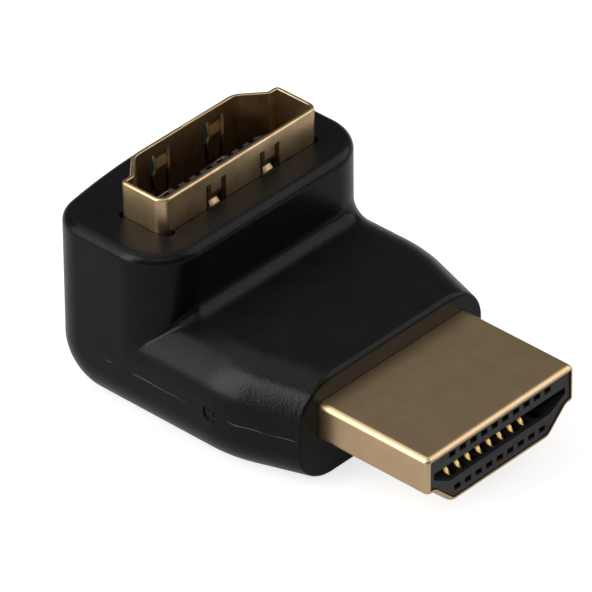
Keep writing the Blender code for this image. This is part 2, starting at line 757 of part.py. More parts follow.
build_housing(black_plastic)
build_shell("plug_shell", plug_point, PLUG_BACK_X, PLUG_TIP_X, 0.0, PLUG_LIP_LENGTH, PLUG_LIP_DEPTH,
            gold_plate)
build_socket_shell(gold_plate)
build_plug_insulator(grey_plastic)
build_socket_insulator(grey_plastic)
build_contacts(contact_gold)
build_board(board_green)
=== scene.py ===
"""Look of the right angle adapter: finer pieces over its solids, their materials and the studio.

Lengths are in millimetres unless a name or a comment says otherwise, and MM turns them into
metres. The plug points along +X and the socket opens upward along +Z.
"""
import math

import bmesh
import bpy
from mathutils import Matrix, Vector


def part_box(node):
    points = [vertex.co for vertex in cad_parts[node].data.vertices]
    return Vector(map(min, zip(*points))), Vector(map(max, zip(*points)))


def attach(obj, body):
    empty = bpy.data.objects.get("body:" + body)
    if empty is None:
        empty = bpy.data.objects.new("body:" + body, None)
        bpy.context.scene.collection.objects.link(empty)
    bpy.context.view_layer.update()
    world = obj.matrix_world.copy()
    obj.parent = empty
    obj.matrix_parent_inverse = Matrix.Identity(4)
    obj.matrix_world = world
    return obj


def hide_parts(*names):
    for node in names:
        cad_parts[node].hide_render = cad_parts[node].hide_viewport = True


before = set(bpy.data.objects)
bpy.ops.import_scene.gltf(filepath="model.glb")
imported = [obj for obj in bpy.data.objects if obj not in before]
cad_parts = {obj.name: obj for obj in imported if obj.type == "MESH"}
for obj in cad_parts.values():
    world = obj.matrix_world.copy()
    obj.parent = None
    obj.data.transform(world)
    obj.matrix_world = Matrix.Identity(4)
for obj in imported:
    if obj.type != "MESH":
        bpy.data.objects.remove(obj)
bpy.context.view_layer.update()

MM = 0.001


def node_box(node):
    """Lowest and highest corner of a solid, in millimetres."""
    low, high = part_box(node)
    return low / MM, high / MM


HOUSING_LOW, HOUSING_HIGH = node_box("housing")
PLUG_LOW, PLUG_HIGH = node_box("plug_shell")
SOCKET_LOW, SOCKET_HIGH = node_box("socket_shell")
BLOCK_LOW, BLOCK_HIGH = node_box("plug_insulator")
TONGUE_LOW, TONGUE_HIGH = node_box("socket_insulator")
BOARD_LOW, BOARD_HIGH = node_box("circuit_board")

# Moulded housing
HALF_WIDTH = HOUSING_HIGH.y
BODY_HEIGHT = HOUSING_HIGH.z
BACK_X = HOUSING_LOW.x
END_X = HOUSING_HIGH.x
LEG_HEIGHT = 8.2
FRONT_X = 5.1
BACK_BOW = 1.1
EDGE_RADIUS = 3.3
UPRIGHT_RADIUS = 3.6
BACK_CORNER_RADIUS = 2.2
BASE_EDGE_RADIUS = 3.0
ELBOW_FILLET = 1.05
CREASE_FILLET = 0.28
FAR_CREASE_FILLET = 1.3
CREASE_TURN = 35
HEEL_RADIUS = 3.6
RIM_RADIUS = 0.7
END_RIM_RADIUS = 0.4
END_SIDE_RIM = 0.16
END_RIM_DEPTH = 0.5
TAPER_START_X = 10.1
TAPER_BLEND = 1.5
SIDE_TAPER = 0.29
FACE_TAPER = 0.06

# Gaps at corners of the socket shell
GAP_INSET = 0.15
GAP_FLOOR_RADIUS = 0.315
GAP_MOUTH_RADIUS = 0.5175
GAP_DEPTH = 0.5
CORNER_GAPS = ((1, -1, 0.3), (-1, -1, 0), (1, 1, 0))  # side on X, side on Y, shift along both

# Round mark on the near side of the leg
MARK_X = 9.2
MARK_Z = 4.15
MARK_RADIUS = 0.6
MARK_DEPTH = 0.11
MARK_BEVEL = 0.06
MARK_PIP_RADIUS = 0.24
MARK_PIP_HEIGHT = 0.08

# Parting line round the leg and the heel, with its thicknesses as shares of its radius
RIDGE_Z = 4.113
RIDGE_RADIUS = 0.055
RIDGE_SINK = 0.028
RIDGE_MIDDLE_X = 3.0
BACK_CENTRE_X = 3.5525
RIDGE_STEP = 0.4
RIDGE_BREAKS = ((9.2, 1.1), (1.5, 0.35), (-1.8, 1.8), (-6.5, 1.5))  # middle on X, half length
RIDGE_WOBBLES = ((0.9, 0, 0.03), (0.37, 1, 0.02))  # radians a step, start in radians, height
RIDGE_SWELLING = (0.53, 2, 0.25)
RIDGE_THICKNESS = 0.85
RIDGE_END_THICKNESS = 0.5
RIDGE_END_GROWTH = 0.25
SHORTEST_STROKE = 3
SAME_PLACE = 0.0005

# D-shaped outline, with a lower and sharper ledge in the socket
PLUG_WIDTH = PLUG_HIGH.y - PLUG_LOW.y
PLUG_HEIGHT = PLUG_HIGH.z - PLUG_LOW.z
PLUG_AXIS_Z = (PLUG_HIGH.z + PLUG_LOW.z) / 2
SIDE_HEIGHT = 2.8
LEDGE_WIDTH = 0.65
NARROW_WIDTH = 9.15
WIDE_CORNER_RADIUS = 0.4
LEDGE_CORNER_RADIUS = 0.37
LEDGE_HOLLOW_RADIUS = 0.5
SOCKET_SIDE_HEIGHT = 2.95
SOCKET_LEDGE_RADIUS = 0.0
NARROW_CORNER_RADIUS = 0.9
SMALLEST_RADIUS = 0.05

# Metal shells
SHEET = 0.3
FIT_GAP = 0.05
PLUG_LIP = (0.42, 0.28)  # how long and how deep the outer edge is turned
SOCKET_LIP = (0.15, 0.15)
INNER_LIP_RADIUS = 0.06
INNER_LIP_SHARE = 0.6
SEAM_WIDTH = 0.03
SEAM_Y = -0.2
PLUG_TIP_X = PLUG_HIGH.x
PLUG_BACK_X = PLUG_LOW.x
SOCKET_LIP_Z = SOCKET_HIGH.z
SOCKET_Y = (SOCKET_HIGH.y + SOCKET_LOW.y) / 2
SOCKET_OFFSET = FIT_GAP + SHEET
SOCKET_WALL_X = PLUG_HEIGHT / 2 + SOCKET_OFFSET - SHEET / 2
SOCKET_END_Y = PLUG_WIDTH / 2 + SOCKET_OFFSET - SHEET / 2
FINGER_WIDTH = 1.0
FINGER_SLOT = 0.4
FINGER_SPACING = 5.0
FINGER_OFFSET = 0.15
FINGER_DROP = 0.8
FINGER_FRONT = (0.8, 0.33)  # straight run, bulge
FINGER_BACK = (0.35, 0.22)
FINGER_SLOPE = 0.65
FINGER_CREST_LENGTH = 0.12
FINGER_RETURN = 0.5
FINGER_LENGTH = 3.0
FINGER_TIP_BULGE = 0.03
FINGER_BEND = 0.25
WINDOW_SINK = 1.6
STRIP_SHEET = 0.26
TAB_WIDTH = 0.8
TAB_SPACING = 1.4
TAB_CENTRE_X = 0.7

# Slot of the plug's insulator and tongue of the socket's
SLOT_CENTRE = 0.15
SLOT_HEIGHT = 1.3
SLOT_WIDTH = 12.4
SLOT_END_HEIGHT = 0.5
SLOT_NARROW_WIDTH = 9.5
SLOT_DEPTH = 7.5
TONGUE_SHY = 0.4  # how far the tongue ends below its solid
TONGUE_GAP = 0.1
TONGUE_END_GAP = 0.25
SOCKET_DEPTH = 7.8
STANDOFF_HEIGHT = 0.4
STANDOFF_LENGTH = 1.2

# Contacts
PITCH = 1.0
WIDE_ROW = 10
NARROW_ROW = 9
PLUG_CONTACTS = 18
CONTACT_WIDTH = 0.4
CONTACT_SHEET = 0.2
CONTACT_GAP = 0.03
CONTACT_SINK = 0.16
CHANNEL_WIDTH = 0.6
GROOVE_WIDTH = 0.5
TUNNEL_GAP = 0.1
NOSE_WALL = 0.35
NOSE_HOLE = 0.42
WIDE_HOLE_DEPTH = 0.65
NARROW_HOLE_DEPTH = 0.8
TIP_SETBACK = 0.62
TIP_DEPTH = 0.5
CREST_SETBACK = 1.2
CREST_LENGTH = 0.4
CREST_RISE = 0.15
SPRING_LENGTH = 2.2
TAIL_REACH = 2.2
SOCKET_TIP_DROP = 0.5
FOOT_LENGTH = 1.2
CONTACT_EDGE = 0.04
CONTACT_BEND = 0.3

# Chamber round the circuit board
CHAMBER_BELOW = 0.7
CHAMBER_ABOVE = 1.2
CHAMBER_GAP = 0.1

# Cutters, eased edges and bends
OVERCUT = 0.5
MOULD_EDGE = 0.035
SHEET_EDGE = 0.03
BEVEL_ANGLE = 40
SHARP_ANGLE = 35
BEND_ROOM = 0.48  # share of a straight run that a bend may take up

# Facets
EDGE_FACETS = 16
BACK_FACETS = 16
ELBOW_FACETS = 20
RIM_FACETS = 8
TAPER_FACETS = 14
OUTLINE_FACETS = 9
LIP_FACETS = 6
BEND_FACETS = 6
MARK_FACETS = 40
GAP_FACETS = 20
RIDGE_FACETS = 2
BEVEL_FACETS = 2

# Places that follow from the sizes
PLUG_FACE_X = BLOCK_HIGH.x
PLUG_BLOCK_BACK_X = BLOCK_LOW.x
PLUG_BLOCK_LENGTH = PLUG_FACE_X - PLUG_BLOCK_BACK_X
SLOT_WIDE_FACE = SLOT_CENTRE + SLOT_HEIGHT / 2
SLOT_NARROW_FACE = SLOT_CENTRE - SLOT_HEIGHT / 2
BEAM_DEPTH = CONTACT_SINK + CONTACT_SHEET / 2
SOCKET_BASE_Z = TONGUE_LOW.z
SOCKET_FLOOR_Z = SOCKET_LIP_Z - SOCKET_DEPTH
TONGUE_TOP_Z = TONGUE_HIGH.z - TONGUE_SHY
TONGUE_WIDE_FACE = SLOT_WIDE_FACE - TONGUE_GAP
TONGUE_NARROW_FACE = SLOT_NARROW_FACE + TONGUE_GAP
GROOVE_DEPTH = CONTACT_SHEET + 2 * CONTACT_GAP

# Camera, with its place and clipping in metres and its turn in radians
CAMERA_PLACE = (0.29173, -0.30756, 0.30319)
CAMERA_TURN = (0.9554, 0.0074, 0.7411)
CAMERA_LENS = 491.2
SENSOR_WIDTH = 36
CLIP_START = 0.01
CLIP_END = 10


# Geometry helpers

def angles(start, end, count):
    """Give count + 1 angles in radians between two angles in degrees."""
    return [math.radians(start + (end - start) * i / count) for i in range(count + 1)]


def row_places(count):
    """Give the Y places of a row of contacts, centred on the middle."""
    return [(i - (count - 1) / 2) * PITCH for i in range(count)]


def object_from(name, bm):
    """Turn a bmesh into an object of the scene."""
    bmesh.ops.recalc_face_normals(bm, faces=bm.faces)
    mesh = bpy.data.meshes.new(name)
    bm.to_mesh(mesh)
    bm.free()
    obj = bpy.data.objects.new(name, mesh)
    bpy.context.scene.collection.objects.link(obj)
    return obj


def bake(obj):
    """Put what the modifiers make into the mesh itself."""
    bpy.context.view_layer.update()
    evaluated = obj.evaluated_get(bpy.context.evaluated_depsgraph_get())
    mesh = bpy.data.meshes.new_from_object(evaluated)
    obj.modifiers.clear()
    obj.data = mesh


def combine(obj, tools, operation="DIFFERENCE"):
    """Cut solids out of a piece, or join them to it, and take them away."""
    for tool in tools:
        modifier = obj.modifiers.new(tool.name, "BOOLEAN")
        modifier.operation = operation
        modifier.solver = "EXACT"
        modifier.object = tool
    bake(obj)
    for tool in tools:
        bpy.data.objects.remove(tool)


def soften(obj, width):
    """Round the sharp edges of a piece."""
    modifier = obj.modifiers.new("edges", "BEVEL")
    modifier.width = width * MM
    modifier.segments = BEVEL_FACETS
    modifier.limit_method = "ANGLE"
    modifier.angle_limit = math.radians(BEVEL_ANGLE)
    bake(obj)


def finish(obj, material, nodes):
    """Shade a piece, give it its material and let it stand for its solids."""
    obj.data.materials.clear()
    obj.data.materials.append(material)
    obj.data.shade_smooth()
    obj.data.set_sharp_from_angle(angle=math.radians(SHARP_ANGLE))
    modifier = obj.modifiers.new("normals", "WEIGHTED_NORMAL")
    modifier.keep_sharp = True
    bake(obj)
    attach(obj, "root")
    if nodes:
        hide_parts(*nodes)


def add_loft(bm, rings, closed=False):
    """Skin rings of equal length; a closed loft joins the last ring to the first."""
    loops = [[bm.verts.new(Vector(point) * MM) for point in ring] for ring in rings]
    pairs = list(zip(loops, loops[1:]))
    if closed:
        pairs.append((loops[-1], loops[0]))
    else:
        bm.faces.new(loops[0])
        bm.faces.new(loops[-1])
    for one, other in pairs:
        for i, j in zip(range(-1, len(one) - 1), range(len(one))):
            bm.faces.new((one[i], one[j], other[j], other[i]))


def lofted(name, rings, closed=False):
    """Object skinned over rings."""
    bm = bmesh.new()
    add_loft(bm, rings, closed)
    return object_from(name, bm)


def boxes(name, pairs):
    """Object made of boxes, each between two opposite corners."""
    bm = bmesh.new()
    for low, high in pairs:
        low = Vector(low) * MM
        high = Vector(high) * MM
        made = bmesh.ops.create_cube(bm, size=1.0)
        bmesh.ops.scale(bm, verts=made["verts"], vec=high - low)
        bmesh.ops.translate(bm, verts=made["verts"], vec=(low + high) / 2)
    return object_from(name, bm)


def side_solids(name, outlines, width):
    """Object made of solids that look along Y, each with its outline and its place on Y."""
    bm = bmesh.new()
    for outline, y in outlines:
        rings = [[(x, y + side * width / 2, z) for x, z in outline] for side in (-1, 1)]
        add_loft(bm, rings)
    return object_from(name, bm)


def plug_point(across, up, x):
    """Place a point of an outline that looks along the plug."""
    return (x, across, PLUG_AXIS_Z + up)


def socket_point(across, up, z):
    """Place a point of an outline that looks along the socket."""
    return (up, SOCKET_Y + across, z)


def moved_corners(corners, offset):
    """Move every side of a clockwise outline outward; a corner is (a, b, radius, is_hollow)."""
    result = []
    for i, (a, b, radius, is_hollow) in enumerate(corners):
        here = Vector((a, b))
        before = (here - Vector(corners[i - 1][:2])).normalized()
        after = (Vector(corners[(i + 1) % len(corners)][:2]) - here).normalized()
        out_before = Vector((-before.y, before.x))
        out_after = Vector((-after.y, after.x))
        here += (out_before + out_after) * offset / (1 + out_before.dot(out_after))
        grown = radius - offset if is_hollow else radius + offset
        result.append((here, max(grown, SMALLEST_RADIUS)))
    return result


def rounded(corners):
    """Round the corners of an outline."""
    points = []
    for i, (here, radius) in enumerate(corners):
        before = (corners[i - 1][0] - here).normalized()
        after = (corners[(i + 1) % len(corners)][0] - here).normalized()
        half = before.angle(after) / 2
        centre = here + (before + after).normalized() * (radius / math.sin(half))
        spoke = here + before * (radius / math.tan(half)) - centre
        last = here + after * (radius / math.tan(half)) - centre
        start = math.atan2(spoke.y, spoke.x)
        turn = math.atan2(spoke.cross(last), spoke.dot(last))
        for step in range(OUTLINE_FACETS + 1):
            angle = start + turn * step / OUTLINE_FACETS
            points.append((centre.x + radius * math.cos(angle), centre.y + radius * math.sin(angle)))
    return points


def connector_outline(offset, side_height=SIDE_HEIGHT, ledge_radius=LEDGE_CORNER_RADIUS):
    """Outline of a shell's outside in the plug's size, moved outward by an offset."""
    top = PLUG_HEIGHT / 2
    ledge = top - side_height
    side = PLUG_WIDTH / 2
    right = [
        (side, top, WIDE_CORNER_RADIUS, False),
        (side, ledge, ledge_radius, False),
        (side - LEDGE_WIDTH, ledge, LEDGE_HOLLOW_RADIUS, True),
        (NARROW_WIDTH / 2, -top, NARROW_CORNER_RADIUS, False),
    ]
    left = [(-a, b, radius, is_hollow) for a, b, radius, is_hollow in reversed(right)]
    return rounded(moved_corners(right + left, offset))


def socket_outline(offset):
    """Outline of the socket, from the plug's outside and moved outward by an offset."""
    return connector_outline(offset, SOCKET_SIDE_HEIGHT, SOCKET_LEDGE_RADIUS)


def slot_outline(gap, end_gap):
    """Outline of the plug's slot, or of the tongue that is smaller by the gaps."""
    wide = SLOT_WIDE_FACE - gap
    narrow = SLOT_NARROW_FACE + gap
    half_wide = SLOT_WIDTH / 2 - end_gap
    half_narrow = SLOT_NARROW_WIDTH / 2 - end_gap
    right = [(half_wide, wide), (half_wide, wide - SLOT_END_HEIGHT), (half_narrow, narrow)]
    return right + [(-a, b) for a, b in reversed(right)]


def bent(path, radius):
    """Round the corners of an open path of flat points."""
    points = [Vector(point) for point in path]
    result = [points[0]]
    for before, here, after in zip(points, points[1:], points[2:]):
        back = (before - here).normalized()
        on = (after - here).normalized()
        half = back.angle(on) / 2
        room = min((before - here).length, (after - here).length) * BEND_ROOM
        reach = min(radius / math.tan(half), room)
        start = here + back * reach
        end = here + on * reach
        for step in range(BEND_FACETS + 1):
            t = step / BEND_FACETS
            result.append(start * (1 - t) ** 2 + here * 2 * t * (1 - t) + end * t ** 2)
    result.append(points[-1])
    return result


def ribbon(path, thickness):
    """Give a thin outline along an open path of flat points."""
    points = [Vector(point) for point in path]
    headings = [(b - a).normalized() for a, b in zip(points, points[1:])]
    left = []
    right = []
    for i, here in enumerate(points):
        before = headings[max(i - 1, 0)]
        after = headings[min(i, len(headings) - 1)]
        normal_before = Vector((-before.y, before.x))
        normal_after = Vector((-after.y, after.x))
        shift = (normal_before + normal_after) * thickness / 2 / (1 + normal_before.dot(normal_after))
        left.append(tuple(here + shift))
        right.append(tuple(here - shift))
    return left + right[::-1]


def inset(ring, distances):
    """Move each point of a counter-clockwise flat ring inward by its own distance."""
    result = []
    for i, (point, distance) in enumerate(zip(ring, distances)):
        here = Vector(point)
        before = (here - Vector(ring[i - 1])).normalized()
        after = (Vector(ring[(i + 1) % len(ring)]) - here).normalized()
        in_before = Vector((-before.y, before.x))
        in_after = Vector((-after.y, after.x))
        here += (in_before + in_after) * distance / (1 + in_before.dot(in_after))
        result.append(tuple(here))
    return result


# Housing

def back_x(y):
    """X of the bowed back wall at a place across the body."""
    return BACK_X + BACK_BOW * (y / HALF_WIDTH) ** 2


def taper_run(x):
    """Length of taper reached at a place along the leg, with a soft start."""
    run = x - TAPER_START_X
    if run <= -TAPER_BLEND:
        return 0.0
    if run >= TAPER_BLEND:
        return run
    return (run + TAPER_BLEND) ** 2 / (4 * TAPER_BLEND)


def half_paths(crease):
    """Lines of one half of the body, from the leg's flat top round to the middle of the base.

    A path is x and y beside the upright, y and z along the leg, and its bend radius, which goes
    over from the elbow's fillet to the crease's on the rounded edge.
    """
    paths = []
    for angle in angles(0, 90, EDGE_FACETS):
        across = 1 - math.sin(angle)
        depth = 1 - math.cos(angle)
        upright_y = HALF_WIDTH - UPRIGHT_RADIUS * across
        leg_y = HALF_WIDTH - EDGE_RADIUS * across
        share = min(1.0, angle / math.radians(CREASE_TURN))
        bend = ELBOW_FILLET + (crease - ELBOW_FILLET) * share
        x = FRONT_X - UPRIGHT_RADIUS * depth
        paths.append((x, upright_y, leg_y, LEG_HEIGHT - EDGE_RADIUS * depth, bend))
    for angle in angles(0, 90, EDGE_FACETS):
        across = 1 - math.cos(angle)
        depth = 1 - math.sin(angle)
        upright_y = HALF_WIDTH - BACK_CORNER_RADIUS * across
        leg_y = HALF_WIDTH - BASE_EDGE_RADIUS * across
        x = back_x(upright_y) + BACK_CORNER_RADIUS * depth
        bend = HEEL_RADIUS - BACK_CORNER_RADIUS * depth
        paths.append((x, upright_y, leg_y, BASE_EDGE_RADIUS * depth, bend))
    for i in range(1, BACK_FACETS // 2 + 1):
        share = 1 - 2 * i / BACK_FACETS
        upright_y = (HALF_WIDTH - BACK_CORNER_RADIUS) * share
        leg_y = (HALF_WIDTH - BASE_EDGE_RADIUS) * share
        paths.append((back_x(upright_y), upright_y, leg_y, 0.0, HEEL_RADIUS))
    return paths


def elbow_paths():
    """Lines that run down the upright, round the elbow and along the leg, all round the body."""
    near = half_paths(CREASE_FILLET)
    mirrored = [(x, -y, -leg_y, z, bend) for x, y, leg_y, z, bend in reversed(near[:-1])]
    return half_paths(FAR_CREASE_FILLET) + mirrored


def leg_section(paths, x):
    """Section of the leg as (z, y) points, narrowed where the leg tapers."""
    run = taper_run(x)
    flat = HALF_WIDTH - EDGE_RADIUS
    section = []
    for _, _, y, z, _ in paths:
        narrowing = SIDE_TAPER * run * min(1.0, abs(y) / flat)
        squeeze = 1 - 2 * FACE_TAPER * run / LEG_HEIGHT
        section.append((PLUG_AXIS_Z + (z - PLUG_AXIS_Z) * squeeze, y - math.copysign(narrowing, y)))
    return section


def top_rings(paths):
    """Rings of the rounded rim round the socket."""
    plan = [(x, y) for x, y, _, _, _ in paths]
    rings = []
    for angle in angles(90, 0, RIM_FACETS):
        z = BODY_HEIGHT - RIM_RADIUS * (1 - math.sin(angle))
        reach = RIM_RADIUS * (1 - math.cos(angle))
        rings.append([(x, y, z) for x, y in inset(plan, [reach] * len(plan))])
    return rings


def elbow_rings(paths):
    """Rings that turn from the foot of the upright into the leg."""
    rings = []
    for angle in angles(0, 90, ELBOW_FACETS):
        share = angle / math.radians(90)
        ring = []
        for x, upright_y, leg_y, z, bend in paths:
            y = upright_y + (leg_y - upright_y) * share
            ring.append((x + bend * (1 - math.cos(angle)), y, z + bend * (1 - math.sin(angle))))
        rings.append(ring)
    return rings


def taper_rings(paths):
    """Rings where the leg's taper starts."""
    rings = []
    for i in range(TAPER_FACETS + 1):
        x = TAPER_START_X + TAPER_BLEND * (2 * i / TAPER_FACETS - 1)
        rings.append([(x, y, z) for z, y in leg_section(paths, x)])
    return rings


def end_rings(paths):
    """Rings of the rim round the plug, rounder over the leg's top than down its sides."""
    rims = []
    for _, _, _, z, _ in paths:
        share = max(0.0, 1 - (LEG_HEIGHT - z) / END_RIM_DEPTH)
        rims.append(END_SIDE_RIM + (END_RIM_RADIUS - END_SIDE_RIM) * share)
    rings = []
    for angle in angles(0, 90, RIM_FACETS):
        places = [END_X - rim * (1 - math.sin(angle)) for rim in rims]
        section = [leg_section([path], x)[0] for path, x in zip(paths, places)]
        section = inset(section, [rim * (1 - math.cos(angle)) for rim in rims])
        rings.append([(x, y, z) for x, (z, y) in zip(places, section)])
    return rings


def housing_rings():
    """Rings of the elbow body, from its top rim to the rim round the plug."""
    paths = elbow_paths()
    return top_rings(paths) + elbow_rings(paths) + taper_rings(paths) + end_rings(paths)


def mark_cutter():
    """Round groove with a low pip left standing in its middle."""
    profile = [
        (MARK_RADIUS, -OVERCUT), (MARK_RADIUS, 0), (MARK_RADIUS - MARK_BEVEL, MARK_DEPTH),
        (MARK_PIP_RADIUS + MARK_BEVEL, MARK_DEPTH), (MARK_PIP_RADIUS, MARK_DEPTH - MARK_PIP_HEIGHT),
    ]
    side = HALF_WIDTH - SIDE_TAPER * taper_run(MARK_X)
    turn = angles(0, 360, MARK_FACETS)[:-1]
    return lofted("mark", [
        [(MARK_X + radius * math.cos(a), depth - side, MARK_Z + radius * math.sin(a)) for a in turn]
        for radius, depth in profile
    ])


def corner_gaps():
    """Small gaps that the moulding left at the corners of the socket shell."""
    outline = [socket_point(a, b, 0) for a, b in socket_outline(SOCKET_OFFSET - GAP_INSET)]
    levels = [(BODY_HEIGHT - GAP_DEPTH, GAP_FLOOR_RADIUS), (BODY_HEIGHT + OVERCUT, GAP_MOUTH_RADIUS)]
    turn = angles(0, 360, GAP_FACETS)[:-1]
    gaps = []
    for number, (along, across, shift) in enumerate(CORNER_GAPS):
        x, y, _ = max(outline, key=lambda point: along * point[0] + across * point[1])
        x += shift
        y += shift
        gaps.append(lofted(f"corner_gap_{number}", [
            [(x + radius * math.cos(a), y + radius * math.sin(a), z) for a in turn]
            for z, radius in levels
        ]))
    return gaps


def build_housing(material):
    """Overmoulded elbow with a bore for each connector and a chamber for the board."""
    housing = lofted("housing_moulding", housing_rings())
    side = BOARD_HIGH.y + CHAMBER_GAP
    front = PLUG_BACK_X - CHAMBER_GAP
    top = BOARD_HIGH.z + CHAMBER_ABOVE
    chamber = boxes("chamber", [(
        (BOARD_LOW.x - CHAMBER_GAP, -side, BOARD_LOW.z - CHAMBER_BELOW), (front, side, top),
    )])
    outline = connector_outline(FIT_GAP)
    plug_bore = lofted("plug_bore", [
        [plug_point(a, b, x) for a, b in outline] for x in (front - OVERCUT, END_X + OVERCUT)
    ])
    outline = socket_outline(SOCKET_OFFSET + FIT_GAP)
    socket_bore = lofted("socket_bore", [
        [socket_point(a, b, z) for a, b in outline] for z in (top - OVERCUT, BODY_HEIGHT + OVERCUT)
    ])
    combine(housing, [chamber, plug_bore, socket_bore, mark_cutter()] + corner_gaps())
    finish(housing, material, ["housing"])


def ridge_places():
    """Points where the parting plane crosses the moulding's side, in order and evenly spaced."""
    bm = bmesh.new()
    add_loft(bm, housing_rings())
    whole = list(bm.verts) + list(bm.edges) + list(bm.faces)
    plane = Vector((0, 0, RIDGE_Z)) * MM
    bmesh.ops.bisect_plane(bm, geom=whole, plane_co=plane, plane_no=(0, 0, 1))
    limit = (END_X - END_SIDE_RIM + SAME_PLACE) * MM
    cut = [v.co.copy() for v in bm.verts if abs(v.co.z - plane.z) < SAME_PLACE * MM]
    points = [point for point in cut if point.x <= limit]
    bm.free()
    middle = RIDGE_MIDDLE_X * MM
    points.sort(key=lambda v: math.atan2(v.y, v.x - middle) % (2 * math.pi), reverse=True)
    places = []
    for one, other in zip(points, points[1:]):
        steps = max(1, round((other - one).length / MM / RIDGE_STEP))
        places += [one.lerp(other, i / steps) for i in range(steps)]
    return places + [points[-1]]


def wave(step, speed, start, height):
    """Height that a wave reaches at a step."""
    return height * math.sin(step * speed + start)


def ridge_strokes():
    """Strokes of the parting line, each a list of points with their thickness."""
    strokes = [[]]
    for i, place in enumerate(ridge_places()):
        if any(abs(place.x / MM - middle) < half for middle, half in RIDGE_BREAKS):
            if strokes[-1]:
                strokes.append([])
            continue
        run = 0 if place.x > 0 else BACK_CENTRE_X * MM - place.x
        inward = Vector((run, -place.y, 0)).normalized()
        wobble = sum(wave(i, *values) for values in RIDGE_WOBBLES)
        here = place + (inward * RIDGE_SINK + Vector((0, 0, wobble))) * MM
        strokes[-1].append((here, RIDGE_THICKNESS + wave(i, *RIDGE_SWELLING)))
    return [stroke for stroke in strokes if len(stroke) >= SHORTEST_STROKE]


def build_ridge(material):
    """Fine parting line that the mould left round the leg and the heel."""
    curve = bpy.data.curves.new("parting_ridge", "CURVE")
    curve.dimensions = "3D"
    curve.bevel_depth = RIDGE_RADIUS * MM
    curve.bevel_resolution = RIDGE_FACETS
    curve.use_fill_caps = True
    for stroke in ridge_strokes():
        last = len(stroke) - 1
        spline = curve.splines.new("POLY")
        spline.points.add(last)
        for i, (point, (here, thickness)) in enumerate(zip(spline.points, stroke)):
            end_share = RIDGE_END_THICKNESS + RIDGE_END_GROWTH * min(i, last - i)
            point.co = (*here, 1)
            point.radius = thickness * min(1.0, end_share)
    drawn = bpy.data.objects.new("ridge_line", curve)
    bpy.context.scene.collection.objects.link(drawn)
    bpy.context.view_layer.update()
    mesh = bpy.data.meshes.new_from_object(drawn.evaluated_get(bpy.context.evaluated_depsgraph_get()))
    bpy.data.objects.remove(drawn)
    ridge = bpy.data.objects.new("parting_ridge", mesh)
    bpy.context.scene.collection.objects.link(ridge)
    finish(ridge, material, [])


# Metal shells

def shell_stations(back, lip, offset, rounding):
    """Places and offsets of a shell's rings: up its outside, over its lip, down its inside.

    The rounding is how long and how deep the lip's outer edge is turned.
    """
    length, depth = rounding
    stations = [(back, offset)]
    for angle in angles(0, 90, LIP_FACETS):
        stations.append((lip - length * (1 - math.sin(angle)), offset - depth * (1 - math.cos(angle))))
    inner = offset - SHEET
    turn = min(INNER_LIP_RADIUS, (SHEET - depth) * INNER_LIP_SHARE)
    for angle in angles(90, 0, LIP_FACETS // 2):
        stations.append((lip - turn * (1 - math.sin(angle)), inner + turn * (1 - math.cos(angle))))
    stations.append((back, inner))
    return stations


def build_shell(name, place, outline, back, lip, offset, rounding):
    """Sheet tube of the D outline with a rolled lip and a butt seam in its narrow wall."""
    stations = shell_stations(back, lip, offset, rounding)
    rings = [[place(a, b, level) for a, b in outline(reach)] for level, reach in stations]
    shell = lofted(name, rings, closed=True)
    wall = -PLUG_HEIGHT / 2 - offset
    low = place(SEAM_Y - SEAM_WIDTH / 2, wall - SHEET, back - OVERCUT)
    high = place(SEAM_Y + SEAM_WIDTH / 2, wall + 2 * SHEET, lip + OVERCUT)
    combine(shell, [boxes("seam", [(low, high)])])
    return shell


def finger_path(wall_x, top_z):
    """Middle line of a spring finger: down in the wall, in towards the plug and back out."""
    inward = -math.copysign(1, wall_x)
    straight, bulge = FINGER_FRONT if wall_x > 0 else FINGER_BACK
    crest_z = top_z - straight - FINGER_SLOPE
    return bent([
        (wall_x, top_z + FINGER_SLOT),
        (wall_x, top_z - straight),
        (wall_x + inward * bulge, crest_z),
        (wall_x + inward * bulge, crest_z - FINGER_CREST_LENGTH),
        (wall_x + inward * FINGER_TIP_BULGE, crest_z - FINGER_CREST_LENGTH - FINGER_RETURN),
        (wall_x + inward * FINGER_TIP_BULGE, top_z - FINGER_LENGTH),
    ], FINGER_BEND)


def build_plug_shell(material):
    """Shell that goes into the mating socket."""
    shell = build_shell("plug_shell_sheet", plug_point, connector_outline, PLUG_BACK_X,
                        PLUG_TIP_X, 0.0, PLUG_LIP)
    finish(shell, material, ["plug_shell"])


